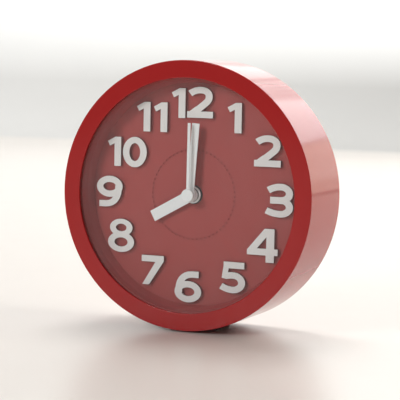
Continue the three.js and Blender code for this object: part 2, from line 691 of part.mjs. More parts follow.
function movementBackCover() {
  const { shape, front, back } = bearingPlate(MOVEMENT_BACK - PLATE, MOVEMENT_BACK);
  shape.holes.push(circle(ARBOR_RADIUS + 0.2));
  return join(slab(shape, front, back), movementWall(SPLIT, front + 0.5));
}

const COIL = { x: -2, y: -21.5, depth: 21, length: 20, flange: 3.6, core: 2.6 };
const STATOR = { front: 20.6, back: 21.4 };

function stator() {
  const shape = polygon([[-16, -23], [24.5, -23], [24.5, -8.6], [6.5, -8.6], [6.5, -15], [-16, -15]]);
  shape.holes.push(polygon([[-13, -20], [9, -20], [9, -17.3], [-13, -17.3]]));
  shape.holes.push(circle(MAGNET.radius + 0.4, ...ROTOR_POINT, 20));
  return slab(shape, STATOR.front, STATOR.back);
}

/** Lays a solid turned about the clock's axis along the x axis, in the coil's or the cell's place. */
const layAlongX = (geometry, x, y, depth) => geometry.rotateY(Math.PI / 2).translate(x, y, -depth);

function coilBobbin() {
  const end = COIL.length / 2;
  const rim = end - 0.8;
  const body = turned([
    [0, -end], [COIL.flange, -end], [COIL.flange, -rim], [COIL.core, -rim],
    [COIL.core, rim], [COIL.flange, rim], [COIL.flange, end], [0, end],
  ], 24);
  const window = new THREE.BoxGeometry(COIL.length + 2, 3 + 2 * GAP, STATOR.back - STATOR.front + 2 * GAP);
  return cut(layAlongX(body, COIL.x, COIL.y, COIL.depth), window.translate(COIL.x, COIL.y, -COIL.depth));
}

function coilWinding() {
  const end = COIL.length / 2 - 0.8 - GAP;
  const inner = COIL.core + GAP;
  const outer = COIL.flange - 0.3;
  const body = turned([[inner, -end], [outer, -end], [outer, end], [inner, end]], 24);
  return layAlongX(body, COIL.x, COIL.y, COIL.depth);
}

const BOARD = { x: 0, y: 21.2, width: 46, height: 8.6, front: 22, back: 23 };
const PART_FRONT = BOARD.back + GAP;

const circuitBoard = () => block(BOARD.x, BOARD.y, BOARD.width, BOARD.height, BOARD.front, BOARD.back);
const driverChip = () => block(-10, BOARD.y, 5, 5, PART_FRONT, PART_FRONT + 1.2);
const quartzCrystal = () => layAlongX(rod(0, 0, 1, -3, 3, 16), 6, BOARD.y, PART_FRONT + 1);
const buzzer = () => rod(BUZZER.x, BUZZER.y, BUZZER.radius, BUZZER.front, COVER_FRONT - GAP, 36);

// ---------------------------------------------------------------- controls

const KNOB_RADIUS = 6.2;
const STEM_RADIUS = 2.2;
const KNOB_FRONT = COVER_BACK + 0.7;

function knobShape(flutes) {
  const points = [];
  for (let i = 0; i < flutes; i += 1) {
    for (const [radius, offset] of [[KNOB_RADIUS, 0], [KNOB_RADIUS, 0.5], [KNOB_RADIUS - 0.4, 0.75]]) {
      points.push(polar(radius, (i + offset) * 360 / flutes));
    }
  }
  return polygon(points);
}

/** A fluted knob on a hollow stem that passes through the rear cover. */
function settingKnob(point) {
  const stem = rod(0, 0, STEM_RADIUS, MOVEMENT_BACK + 1.5, KNOB_FRONT + 1, 20);
  const body = join(slab(knobShape(18), KNOB_FRONT, KNOB_BACK), stem);
  const bore = rod(0, 0, SET_ARBOR + 0.2, MOVEMENT_BACK, KNOB_BACK - 1.5, 12);
  return cut(body, bore).translate(...point, 0);
}

function settingArbor(point, pinion, phase, layer) {
  const arbor = rod(0, 0, SET_ARBOR, ARBOR_ENDS[0], KNOB_BACK - 1.8, 12);
  return join(arbor, gearSlab(pinion, phase, layer)).translate(...point, 0);
}

/** The alarm's slide switch, at the off end of its travel. */
function alarmSwitch() {
  const x = SWITCH.x - SWITCH.travel / 2;
  const { y, stemWidth, stemHeight } = SWITCH;
  const cap = { width: 6.4, height: 4.4, back: COVER_BACK + 1.9 };
  const keeper = { width: 14, height: 6, back: COVER_FRONT - GAP };
  const ridges = [-1.8, 0, 1.8].map((offset) => (
    block(x + offset, y, 0.6, cap.height, cap.back - 0.4, cap.back + 0.5)
  ));
  return join(
    block(x, y, cap.width, cap.height, COVER_BACK + GAP, cap.back),
    block(x, y, stemWidth, stemHeight, COVER_FRONT - 1.2, COVER_BACK + 0.8),
    block(x, y, keeper.width, keeper.height, keeper.back - 1, keeper.back),
    ...ridges,
  );
}

// ---------------------------------------------------------------- power

function cell() {
  const end = CELL_LENGTH / 2;
  const body = turned([
    [0, -end - 1], [2.7, -end - 1], [2.7, -end], [CELL_RADIUS - 0.4, -end], [CELL_RADIUS, -end + 0.4],
    [CELL_RADIUS, end], [0, end],
  ], 20);
  return layAlongX(body, 0.5, CELL_HEIGHT, CELL_DEPTH);
}

const BAY_END = CELL_BAY.width / 2;

/** The flat contact that the cell's button meets. */
function positiveContact() {
  return new THREE.BoxGeometry(0.5, 10, 10).translate(BAY_END - GAP - 0.25, CELL_HEIGHT, -CELL_DEPTH);
}

/** The coil spring that presses on the cell's flat end. */
function negativeContact() {
  const turns = 3;
  const start = -BAY_END + GAP + 0.4;
  const length = 2.4;
  const points = [];
  for (let i = 0; i <= turns * 10; i += 1) {
    const t = i / (turns * 10);
    const radius = 4.6 - 2.2 * t;
    const angle = 2 * Math.PI * turns * t;
    points.push(new THREE.Vector3(start + length * t, radius * Math.cos(angle), radius * Math.sin(angle)));
  }
  return wire(new THREE.CatmullRomCurve3(points), 0.3, turns * 10, 4).translate(0, CELL_HEIGHT, -CELL_DEPTH);
}

/** A wire along a curve. */
function wire(curve, radius, steps, sides = 6) {
  const section = circle(radius, 0, 0, sides);
  return new THREE.ExtrudeGeometry(section, { steps, bevelEnabled: false, extrudePath: curve });
}

/** The lead from one end of the cell bay up to the side of the movement. */
function batteryLead(side) {
  const x = BAY_END + CELL_BAY.wall + 1;
  const edge = MOVEMENT_SIZE / 2 + 1;
  const curve = new THREE.CatmullRomCurve3([
    [x, CELL_HEIGHT + 2, -27], [x + 2, CELL_HEIGHT + 7, -27], [edge + 3, -27, -26], [edge, -22, -25],
  ].map(([px, py, pz]) => new THREE.Vector3(side * px, py, pz)));
  return wire(curve, 0.6, 8);
}

// ---------------------------------------------------------------- assembly

const clear = plastic(CLEAR, 0.05);
clear.transparent = true;
clear.opacity = 0.2;
add('front_case', frontCase(), plastic(RED, 0.35));
add('lens', lens(), clear);
add('dial_ring', dialRing(), plastic(RED, 0.45));
add('dial_plate', dialPlate(), plastic(DIAL_RED, 0.6));
addNumerals();

add('second_hand', secondHand(), plastic(WHITE, 0.4));
add('minute_hand', minuteHand(), plastic(WHITE, 0.4));
add('hour_hand', hand(HANDS.hour, HOUR_ANGLE), plastic(WHITE, 0.4));
add('alarm_hand', hand(HANDS.alarm, ALARM_ANGLE), plastic(WHITE, 0.4));

add('rear_cover', rearCover(), plastic(RED, 0.45));
add('battery_door', batteryDoor(), plastic(RED, 0.45));
screwPoints.forEach((point, i) => add(`case_screw_${i + 1}`, caseScrew(point), metal(STEEL)));
add('foot_right', foot(1), plastic(RUBBER, 0.85));
add('foot_left', foot(-1), plastic(RUBBER, 0.85));

const timeArbor = settingArbor(TIME_KNOB, TIME_PINION, TIME_PHASE, LAYER.motion);
const alarmArbor = settingArbor(ALARM_KNOB, ALARM_PINION, ALARM_PHASE, LAYER.alarm);
add('time_set_knob', settingKnob(TIME_KNOB), plastic(RED, 0.5));
add('time_set_arbor', timeArbor, plastic(NATURAL, 0.5));
add('alarm_set_knob', settingKnob(ALARM_KNOB), plastic(RED, 0.5));
add('alarm_set_arbor', alarmArbor, plastic(NATURAL, 0.5));
add('alarm_switch', alarmSwitch(), plastic(BLACK, 0.5));

const fifthWheel = trainWheel(
  FIFTH_POINT, FIFTH_WHEEL, 0, LAYER.fifth, FIFTH_PINION, FIFTH_PINION_PHASE, LAYER.second,
);
const thirdWheel = trainWheel(
  THIRD_POINT, THIRD_WHEEL, THIRD_WHEEL_PHASE, LAYER.third, THIRD_PINION, THIRD_PINION_PHASE, LAYER.centre,
);
const hourWheel = tubeWheel(HOUR_TUBE, HOUR_WHEEL, HOUR_PHASE, LAYER.hour, HANDS.hour.front - 0.2);
const alarmWheel = tubeWheel(ALARM_TUBE, ALARM_WHEEL, 0, LAYER.alarm, HANDS.alarm.front - 0.1);
add('movement_front_plate', movementFrontPlate(), plastic(MOVEMENT_GREY, 0.55));
add('movement_back_cover', movementBackCover(), plastic(MOVEMENT_GREY, 0.55));
add('rotor', rotor(), plastic(GREY, 0.4));
add('fifth_wheel', fifthWheel, plastic(NATURAL, 0.5));
add('second_wheel', secondWheel(), plastic(NATURAL, 0.5));
add('third_wheel', thirdWheel, plastic(NATURAL, 0.5));
add('centre_wheel', centreWheel(), plastic(NATURAL, 0.5));
add('motion_wheel', motionWheel(), plastic(NATURAL, 0.5));
add('hour_wheel', hourWheel, plastic(NATURAL, 0.5));
add('alarm_wheel', alarmWheel, plastic(GREY, 0.5));
add('alarm_idler', alarmIdler(), plastic(NATURAL, 0.5));
add('stator', stator(), metal(STEEL, 0.4));
add('coil_bobbin', coilBobbin(), plastic(BLACK, 0.5));
add('coil_winding', coilWinding(), metal(COPPER, 0.4));
add('circuit_board', circuitBoard(), plastic(BOARD_GREEN, 0.5));
add('driver_chip', driverChip(), plastic(BLACK, 0.5));
add('quartz_crystal', quartzCrystal(), metal(STEEL, 0.25));
add('buzzer', buzzer(), plastic(BLACK, 0.5));

add('battery', cell(), plastic(CELL_GREEN, 0.35));
add('battery_contact_positive', positiveContact(), metal(STEEL, 0.3));
add('battery_contact_negative', negativeContact(), metal(STEEL, 0.3));
add('battery_lead_positive', batteryLead(1), plastic(LEAD_RED, 0.5));
add('battery_lead_negative', batteryLead(-1), plastic(BLACK, 0.5));

const part = new THREE.Group();
const bodyDepth = KNOB_BACK;                         // bezel face to the knobs' tips
clock.rotation.x = Math.PI / 2;
clock.position.set(0, -bodyDepth / 2, CASE_RADIUS + FOOT_LIFT);
part.add(clock);
part.updateMatrixWorld(true);

export default part;
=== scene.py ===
# The looks of a round desk alarm clock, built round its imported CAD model. Metres, +Z up, dial towards -Y.
import json
import math

import bmesh
import bpy
from mathutils import Matrix, Vector


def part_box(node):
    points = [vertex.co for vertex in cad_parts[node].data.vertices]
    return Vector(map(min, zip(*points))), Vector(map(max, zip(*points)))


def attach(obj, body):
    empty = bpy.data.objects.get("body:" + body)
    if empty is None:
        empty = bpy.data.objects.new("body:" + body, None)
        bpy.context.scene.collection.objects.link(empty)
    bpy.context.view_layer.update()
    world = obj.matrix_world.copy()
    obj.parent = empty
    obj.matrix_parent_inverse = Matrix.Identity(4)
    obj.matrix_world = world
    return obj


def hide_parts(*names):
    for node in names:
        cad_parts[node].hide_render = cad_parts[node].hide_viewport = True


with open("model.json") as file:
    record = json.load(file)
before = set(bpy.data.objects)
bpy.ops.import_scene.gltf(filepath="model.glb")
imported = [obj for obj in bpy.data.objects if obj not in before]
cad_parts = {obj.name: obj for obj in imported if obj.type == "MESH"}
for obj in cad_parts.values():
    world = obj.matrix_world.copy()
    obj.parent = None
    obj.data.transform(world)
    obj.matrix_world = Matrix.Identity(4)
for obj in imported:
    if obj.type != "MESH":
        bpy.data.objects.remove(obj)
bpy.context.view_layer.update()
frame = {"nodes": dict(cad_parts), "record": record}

MM = 0.001

# ---------------------------------------------------------------- places and sizes, from the frame

case_low, case_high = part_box("front_case")
RADIUS = (case_high.x - case_low.x) / 2
CENTRE = Vector((0, 0, (case_low.z + case_high.z) / 2))
FRONT = case_low.y
BACK = case_high.y


def depth_of(node):
    """How far behind the bezel's face a node starts and ends."""
    low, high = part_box(node)
    return low.y - FRONT, high.y - FRONT


def radius_of(node):
    low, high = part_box(node)
    return (high.x - low.x) / 2


def middle_of(node):
    low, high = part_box(node)
    return (low + high) / 2


GAP = 0.3 * MM                                       # between neighbouring pieces
LENS_SEAT = 2.4 * MM                                 # how far the lens reaches behind the bezel
RING_TAPER = 2.6 * MM                                # how much narrower the dial ring is at the dial
COVER_PLATE = 1.8 * MM                               # thickness of the rear cover
WALL = RADIUS - radius_of("rear_cover") - GAP
OPENING = radius_of("lens") - LENS_SEAT
LENS_FRONT, LENS_BACK = depth_of("lens")
RING_FRONT, RING_BACK = depth_of("dial_ring")
DIAL_FRONT, DIAL_BACK = depth_of("dial_plate")
DIAL_SIGHT = OPENING - RING_TAPER
SCREW_MIDDLES = [middle_of(f"case_screw_{i}") for i in range(1, 5)]

BOSS_RADIUS = 2.6 * MM
BOSS_ROOT = 0.8 * MM                                 # how far the bosses start inside the bezel
BOSS_BACK = depth_of("rear_cover")[1] - COVER_PLATE - GAP
PILOT_RADIUS = 0.8 * MM
PILOT_DEPTH = 9 * MM
NOTCH_RADIUS = BOSS_RADIUS + GAP                     # lets the lens and the dial ring pass the bosses

ROUND = 192                                          # steps round the drum
OVERSHOOT = 1 * MM                                   # how far a cutter stands out of what it cuts
WELD_DISTANCE = 0.001 * MM
SHARP_ANGLE = math.radians(35)                       # steeper edges stay crisp in smooth shading
BEVEL_ANGLE = math.radians(40)                       # steeper edges are softened


# ---------------------------------------------------------------- mesh helpers

def new_piece(name, mesh):
    piece = bpy.data.objects.new(name, mesh)
    bpy.context.scene.collection.objects.link(piece)
    return piece


def smooth(piece):
    piece.data.shade_smooth()
    piece.data.set_sharp_from_angle(angle=SHARP_ANGLE)


def turned(name, profile):
    """A closed solid, turned about the clock's axis from (radius, depth) points.

    The points run along the front, outside and back. An outline that starts on the axis is a disc's,
    and any other is closed from its last point to its first.
    """
    build = bmesh.new()
    rings = []
    for radius, depth in profile:
        if radius == 0:
            rings.append([build.verts.new((CENTRE.x, FRONT + depth, CENTRE.z))])
            continue
        ring = []
        for i in range(ROUND):
            angle = 2 * math.pi * i / ROUND
            x = CENTRE.x + radius * math.cos(angle)
            z = CENTRE.z + radius * math.sin(angle)
            ring.append(build.verts.new((x, FRONT + depth, z)))
        rings.append(ring)
    pairs = list(zip(rings, rings[1:]))
    if profile[0][0] > 0:
        pairs.append((rings[-1], rings[0]))
    for first, second in pairs:
        for i in range(ROUND):
            j = (i + 1) % ROUND
            corners = [
                first[i % len(first)],
                first[j % len(first)],
                second[j % len(second)],
                second[i % len(second)],
            ]
            build.faces.new(list(dict.fromkeys(corners)))
    bmesh.ops.recalc_face_normals(build, faces=build.faces)
    mesh = bpy.data.meshes.new(name)
    build.to_mesh(mesh)
    build.free()
    piece = new_piece(name, mesh)
    smooth(piece)
    return piece


def rounded(profile, radius, steps=4):
    """A profile with its corners rounded off. A corner with a third number has that radius."""
    result = []
    count = len(profile)
    for i, point in enumerate(profile):
        here = Vector(point[:2])
        own = point[2] if len(point) > 2 else radius
        before = Vector(profile[i - 1][:2])
        after = Vector(profile[(i + 1) % count][:2])
        start = here + (before - here).normalized() * own
        end = here + (after - here).normalized() * own
        for k in range(steps + 1):
            t = k / steps
            curve = start * (1 - t) ** 2 + here * 2 * t * (1 - t) + end * t ** 2
            result.append(tuple(curve))
    return result


def rods(name, middles, radius, front, back, sides=24):
    """One mesh of separate round rods along the clock's axis, used to cut or join."""
    build = bmesh.new()
    along = Matrix.Rotation(math.pi / 2, 4, "X")
    halfway = FRONT + (front + back) / 2
    for middle in middles:
        place = Matrix.Translation((middle.x, halfway, middle.z)) @ along
        bmesh.ops.create_cone(
            build, cap_ends=True, segments=sides, radius1=radius, radius2=radius,
            depth=back - front, matrix=place,
        )
    mesh = bpy.data.meshes.new(name)
    build.to_mesh(mesh)
    build.free()
    return new_piece(name, mesh)


def combine(piece, tool, operation):
    """Cuts or joins with another mesh, for good, and removes that mesh."""
    modifier = piece.modifiers.new("combine", "BOOLEAN")
    modifier.operation = operation
    modifier.solver = "EXACT"
    modifier.object = tool
    bpy.context.view_layer.update()
    evaluated = piece.evaluated_get(bpy.context.evaluated_depsgraph_get())
    mesh = bpy.data.meshes.new_from_object(evaluated)
    piece.modifiers.clear()
    piece.data = mesh
    mesh.name = piece.name
    bpy.data.objects.remove(tool)
    smooth(piece)


def soften(node, width):
    """Small round edges on a CAD node, by modifiers."""
    piece = frame["nodes"][node]
    weld = piece.modifiers.new("weld", "WELD")
    weld.merge_threshold = WELD_DISTANCE
    bevel = piece.modifiers.new("edges", "BEVEL")
    bevel.width = width
    bevel.segments = 2
    bevel.limit_method = "ANGLE"
    bevel.angle_limit = BEVEL_ANGLE
    bevel.use_clamp_overlap = True


# ---------------------------------------------------------------- materials

class Paint:
    """A material's node tree, with short ways to add and link its nodes."""

    def __init__(self, name):
        self.material = bpy.data.materials.new(name)
        self.material.use_nodes = True
        self.tree = self.material.node_tree
        self.shader = self.tree.nodes["Principled BSDF"]
        place = self.node("ShaderNodeTexCoord")
        scale = self.node("ShaderNodeMapping")
        scale.inputs["Scale"].default_value = (1 / MM, 1 / MM, 1 / MM)
        self.link(place.outputs["Object"], scale.inputs["Vector"])
        self.millimetres = scale.outputs["Vector"]

    def node(self, kind, **inputs):
        made = self.tree.nodes.new(kind)
        for name, value in inputs.items():
            made.inputs[name].default_value = value
        return made

    def link(self, source, target):
        self.tree.links.new(source, target)

    def set(self, **values):
        for name, value in values.items():
            self.shader.inputs[name.replace("_", " ")].default_value = value

    def noise(self, size, detail=3.0):
        """Soft noise whose blotches are about that many millimetres across."""
        made = self.node("ShaderNodeTexNoise", Scale=1 / size, Detail=detail)
        self.link(self.millimetres, made.inputs["Vector"])
        return made.outputs["Fac"]

    def spread(self, source, low, high, start=0.0, end=1.0):
        """Turns the values from start to end into values from low to high, and stops there."""
        made = self.node("ShaderNodeMapRange")
        made.inputs["From Min"].default_value = start
        made.inputs["From Max"].default_value = end
        made.inputs["To Min"].default_value = low
        made.inputs["To Max"].default_value = high
        self.link(source, made.inputs["Value"])
        return made.outputs["Result"]

    def mix(self, share, first, second):
        """A colour between the first, at a share of 0, and the second, at 1."""
        made = self.node("ShaderNodeMix")
        made.data_type = "RGBA"
        for socket, value in (("Factor_Float", share), ("A_Color", first), ("B_Color", second)):
            target = next(i for i in made.inputs if i.identifier == socket)
            if isinstance(value, bpy.types.NodeSocket):
                self.link(value, target)
            else:
                target.default_value = value
        return next(o for o in made.outputs if o.identifier == "Result_Color")

    def bump(self, height, distance, under=None):
        """Bumps of that height in metres, on top of the bumps under them."""
        made = self.node("ShaderNodeBump", Distance=distance)
        self.link(height, made.inputs["Height"])
        if under is not None:
            self.link(under, made.inputs["Normal"])
        return made.outputs["Normal"]

    def edges(self):
        """1 on convex edges and 0 elsewhere."""
        geometry = self.node("ShaderNodeNewGeometry")
        return self.spread(geometry.outputs["Pointiness"], 0, 1, start=0.51, end=0.56)


def shade(colour, factor):
    return (*[min(1.0, c * factor) for c in colour[:3]], 1.0)


WAVE_HEIGHT = 0.012 * MM                             # of a moulded surface's wide, shallow waves


def moulded(
    name, colour, roughness, grain=0.004, grain_size=0.25, variation=0.05, wear=0.12, specks=0.3, **fixed,
):
    """Moulded plastic: faint colour drift, fine grain, uneven gloss and lighter, rubbed edges.

    Grain is the height and grain_size the width of the surface's fine bumps, in millimetres.
    """
    paint = Paint(name)
    drift = paint.mix(paint.noise(22), shade(colour, 1 - variation), shade(colour, 1 + variation))
    dark = paint.spread(paint.noise(0.6, 2), 0, specks, start=0.45, end=0.75)
    speck = paint.mix(dark, drift, shade(colour, 1 - 2 * variation))
    worn = paint.mix(paint.spread(paint.edges(), 0, wear), speck, shade(colour, 1.6))
    paint.link(worn, paint.shader.inputs["Base Color"])
    uneven = paint.spread(paint.noise(9, 4), roughness * 0.85, roughness * 1.2, start=0.3, end=0.7)
    paint.link(uneven, paint.shader.inputs["Roughness"])
    fine = paint.bump(paint.noise(grain_size, 2), grain * MM)
    wavy = paint.bump(paint.noise(18, 1), WAVE_HEIGHT, fine)
    paint.link(wavy, paint.shader.inputs["Normal"])
    paint.set(**fixed)
    return paint


CASE_RED = (0.38, 0.012, 0.012)
RING_RED = (0.34, 0.03, 0.028)
DIAL_RED = (0.36, 0.036, 0.031)
DOT_RED = (0.25, 0.016, 0.013, 1)
COVER_RED = (0.38, 0.025, 0.022)
KNOB_RED = (0.33, 0.022, 0.02)
WHITE = (0.8, 0.81, 0.8)
HAND_WHITE = (0.87, 0.92, 0.93)
STEEL = (0.56, 0.57, 0.59)
COPPER = (0.55, 0.2, 0.09)


def plain(name, colour, roughness, **fixed):
    return moulded(name, colour, roughness, **fixed).material


def case_plastic():
    return plain(
        "case_red", CASE_RED, 0.11, grain=0.0015, variation=0.04, IOR=1.5, Specular_IOR_Level=0.35,
    )


def ring_plastic():
    return plain("ring_red", RING_RED, 0.42)


def dial_plastic():
    """Matt dial. The little dimples of its circle are darker inside."""
    paint = moulded("dial_red", DIAL_RED, 0.55, grain=0.006, grain_size=0.4, specks=0.1)
    split = paint.node("ShaderNodeSeparateXYZ")
    paint.link(paint.millimetres, split.inputs["Vector"])
    face = (FRONT + DIAL_FRONT) / MM
    inside = paint.spread(split.outputs["Y"], 0, 1, start=face + 0.04, end=face + 0.14)
    flat = paint.shader.inputs["Base Color"].links[0].from_socket
    paint.link(paint.mix(inside, flat, DOT_RED), paint.shader.inputs["Base Color"])
    return paint.material


def cover_plastic():
    return plain("cover_red", COVER_RED, 0.45, grain=0.02, grain_size=0.5)


def knob_plastic():
    return plain("knob_red", KNOB_RED, 0.38)


def lens_plastic():
    """Clear plastic with a faint, uneven haze and uneven gloss."""
    paint = Paint("clear_lens")
    haze = paint.spread(paint.noise(30), 0.025, 0.04)
    paint.link(haze, paint.shader.inputs["Alpha"])
    paint.link(paint.spread(paint.noise(6, 4), 0.04, 0.1), paint.shader.inputs["Roughness"])
    paint.set(Base_Color=(0.9, 0.9, 0.9, 1), IOR=1.49)
    return paint.material


def numeral_paint():
    """White hot-stamped faces on red moulded sides. The sides are painted a darker red than their plastic,
    as painted shade.
    """
    paint = moulded("numeral_white", WHITE, 0.45, grain=0.003, wear=0.0)
    facing = paint.node("ShaderNodeNewGeometry")
    split = paint.node("ShaderNodeSeparateXYZ")
    paint.link(facing.outputs["Normal"], split.inputs["Vector"])
    front = paint.spread(split.outputs["Y"], 1, 0, start=-0.9, end=-0.6)
    white = paint.shader.inputs["Base Color"].links[0].from_socket
    # Painted shade: the sides take the case's red at 0.45, darker than the plastic they are moulded in, as
    # if turned away from the light.
    paint.link(paint.mix(front, shade(CASE_RED, 0.45), white), paint.shader.inputs["Base Color"])
    return paint.material


def hand_paint():
    return plain("hand_white", HAND_WHITE, 0.3, grain=0.002, wear=0.0)


def steel():
    return plain("steel", STEEL, 0.28, grain=0.002, variation=0.03, wear=0.2, Metallic=1.0)


def copper_winding():
    """Fine turns of enamelled wire side by side."""
    paint = moulded("copper", COPPER, 0.3, variation=0.08, Metallic=1.0)
    bands = paint.node("ShaderNodeTexWave", Scale=1.6, Distortion=0.4)
    bands.bands_direction = "X"
    paint.link(paint.millimetres, bands.inputs["Vector"])
    turns = paint.bump(bands.outputs["Fac"], 0.06 * MM)
    paint.link(turns, paint.shader.inputs["Normal"])
    return paint.material


MAKERS = {
    "case_red": case_plastic,
    "ring_red": ring_plastic,
    "dial_red": dial_plastic,
    "cover_red": cover_plastic,
    "knob_red": knob_plastic,
    "clear_lens": lens_plastic,
    "numeral_white": numeral_paint,
    "hand_white": hand_paint,
    "steel": steel,
    "copper": copper_winding,
    "foot_rubber": lambda: plain("foot_rubber", (0.03, 0.026, 0.028), 0.8, grain=0.02),
    "gear_natural": lambda: plain(
        "gear_natural", (0.78, 0.75, 0.66), 0.4, Subsurface_Weight=0.15, Subsurface_Scale=1 * MM,
    ),
    "gear_grey": lambda: plain("gear_grey", (0.25, 0.27, 0.29), 0.4),
    "switch_black": lambda: plain("switch_black", (0.02, 0.02, 0.022), 0.45),
    "movement_grey": lambda: plain("movement_grey", (0.045, 0.045, 0.048), 0.5, grain=0.012),
    "rotor_grey": lambda: plain("rotor_grey", (0.08, 0.085, 0.09), 0.35),
    "bobbin_black": lambda: plain("bobbin_black", (0.015, 0.017, 0.02), 0.4),
    "board_green": lambda: plain("board_green", (0.03, 0.13, 0.05), 0.35),
    "chip_black": lambda: plain("chip_black", (0.01, 0.01, 0.011), 0.5),
    "buzzer_black": lambda: plain("buzzer_black", (0.012, 0.012, 0.013), 0.5),
    "cell_wrap": lambda: plain("cell_wrap", (0.045, 0.07, 0.06), 0.25),
    "lead_red": lambda: plain("lead_red", (0.45, 0.02, 0.01), 0.45),
    "lead_black": lambda: plain("lead_black", (0.012, 0.012, 0.012), 0.45),
}
MATERIALS = {slot: make() for slot, make in MAKERS.items()}
SLOT_OF = {part["node"]: part["material_slot"] for part in frame["record"]["subparts"]}


def coat(piece, slot):
    piece.data.materials.clear()
    piece.data.materials.append(MATERIALS[slot])


def keep_flats(piece):
    """Large faces decide the shading at their edges, so that they mirror as flat or straight."""
    weighted = piece.modifiers.new("flats", "WEIGHTED_NORMAL")
    weighted.mode = "FACE_AREA"
    weighted.weight = 100
    weighted.keep_sharp = True


def stand_for(piece, node):
    """A finished piece takes the place of a CAD node."""
    keep_flats(piece)
    coat(piece, SLOT_OF[node])
    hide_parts(node)
    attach(piece, "case")


# ---------------------------------------------------------------- pieces

CORNER = 0.1 * MM                                    # the usual radius of a moulded corner


def make_drum():
    """The drum and its bezel in one, with the four bosses that take the rear cover's screws."""
    lip = LENS_FRONT - GAP
    bezel_back = 2.6 * MM
    seat = radius_of("lens") + GAP
    drum = turned("drum", rounded([
        (OPENING, 0, 0.3 * MM),
        (RADIUS, 0, 0.4 * MM),
        (RADIUS, BACK - FRONT, 0.35 * MM),
        (RADIUS - WALL, BACK - FRONT, 0.35 * MM),
        (RADIUS - WALL, bezel_back),
        (seat, bezel_back),
        (seat, lip),
        (OPENING, lip, 0.25 * MM),
    ], CORNER))
    bosses = rods("bosses", SCREW_MIDDLES, BOSS_RADIUS, bezel_back - BOSS_ROOT, BOSS_BACK)
    combine(drum, bosses, "UNION")
    pilots = rods("pilots", SCREW_MIDDLES, PILOT_RADIUS, BOSS_BACK - PILOT_DEPTH, BOSS_BACK + OVERSHOOT, 16)
    combine(drum, pilots, "DIFFERENCE")
    stand_for(drum, "front_case")


def make_dial_ring():
    """The wall between the window and the dial: nearly straight at first, then a cone."""
    thickness = 1.3 * MM
    mouth = OPENING - 0.1 * MM
    waist = OPENING - 0.7 * MM
    bend = RING_FRONT + 4.2 * MM
    flange = radius_of("dial_ring")
    flange_back = RING_FRONT + 1 * MM
    ring = turned("dial_ring_wall", rounded([
        (mouth, RING_FRONT, 0.2 * MM),
        (flange, RING_FRONT),
        (flange, flange_back),
        (OPENING + thickness, flange_back),
        (DIAL_SIGHT + thickness, RING_BACK),
        (DIAL_SIGHT, RING_BACK, 0.2 * MM),
        (waist, bend, 0.6 * MM),
    ], CORNER))
    notches = rods("notches", SCREW_MIDDLES, NOTCH_RADIUS, RING_FRONT - OVERSHOOT, RING_BACK)
    combine(ring, notches, "DIFFERENCE")
    stand_for(ring, "dial_ring")


DOT_COUNT = 60
DOT_CIRCLE = 0.334 * RADIUS
DOT_RADIUS = 0.56 * MM
DOT_DEPTH = 0.3 * MM


def make_dial():
    """The dial plate with its circle of small round dimples."""
    hole = 4.6 * MM
    edge = radius_of("dial_plate")
    dial = turned("dial_face", rounded([
        (hole, DIAL_FRONT, 0.2 * MM),
        (edge, DIAL_FRONT),
        (edge, DIAL_BACK),
        (hole, DIAL_BACK),
    ], CORNER))
    middles = []
    for i in range(DOT_COUNT):
        angle = 2 * math.pi * i / DOT_COUNT
        middles.append(CENTRE + DOT_CIRCLE * Vector((math.sin(angle), 0, math.cos(angle))))
    dots = rods("dots", middles, DOT_RADIUS, DIAL_FRONT - OVERSHOOT, DIAL_FRONT + DOT_DEPTH, 16)
    combine(dial, dots, "DIFFERENCE")
    stand_for(dial, "dial_plate")


def make_lens():
    edge = radius_of("lens")
    disc = turned("lens_disc", [(0, LENS_FRONT), (edge, LENS_FRONT), (edge, LENS_BACK), (0, LENS_BACK)])
    notches = rods(
        "lens_notches", SCREW_MIDDLES, NOTCH_RADIUS, LENS_FRONT - OVERSHOOT, LENS_BACK + OVERSHOOT,
    )
    combine(disc, notches, "DIFFERENCE")
    stand_for(disc, "lens")


make_drum()
make_dial_ring()
make_dial()
make_lens()

for name, node in frame["nodes"].items():
    coat(node, SLOT_OF[name])

SOFT_EDGES = {                                       # by the start of the node's name
    "numeral": 0.18 * MM,
    "second_hand": 0.08 * MM,
    "minute_hand": 0.12 * MM,
    "hour_hand": 0.12 * MM,
    "alarm_hand": 0.1 * MM,
    "battery_door": 0.2 * MM,
    "rear_cover": 0.2 * MM,
    "time_set_knob": 0.25 * MM,
    "alarm_set_knob": 0.25 * MM,
    "alarm_switch": 0.15 * MM,
    "foot": 0.4 * MM,
    "case_screw": 0.08 * MM,
}
for name in frame["nodes"]:
    for start, width in SOFT_EDGES.items():
        if name.startswith(start):
            soften(name, width)


# ---------------------------------------------------------------- stage, light and camera

def stage_paint():
    """A warm floor, and a backdrop that is grey low down, darker to the right, and nearly white above."""
    paint = Paint("stage_floor")
    split = paint.node("ShaderNodeSeparateXYZ")
    paint.link(paint.millimetres, split.inputs["Vector"])
    rightward = paint.spread(split.outputs["X"], 0, 1, start=-1150, end=-450)
    upward = paint.spread(split.outputs["Z"], 0, 1, start=90, end=200)
    off_floor = paint.spread(split.outputs["Z"], 0, 1, start=0.2, end=4)
    low = paint.mix(rightward, (0.6, 0.597, 0.582, 1), (0.425, 0.422, 0.41, 1))
    wall = paint.mix(upward, low, (0.95, 0.955, 0.94, 1))
    speckle = paint.mix(paint.noise(1.5, 4), (0.64, 0.602, 0.562, 1), (0.67, 0.632, 0.592, 1))
    paint.link(paint.mix(off_floor, speckle, wall), paint.shader.inputs["Base Color"])
    paint.link(paint.spread(paint.noise(40, 3), 0.28, 0.34), paint.shader.inputs["Roughness"])
    paint.set(Specular_IOR_Level=0.7)
    return paint.material


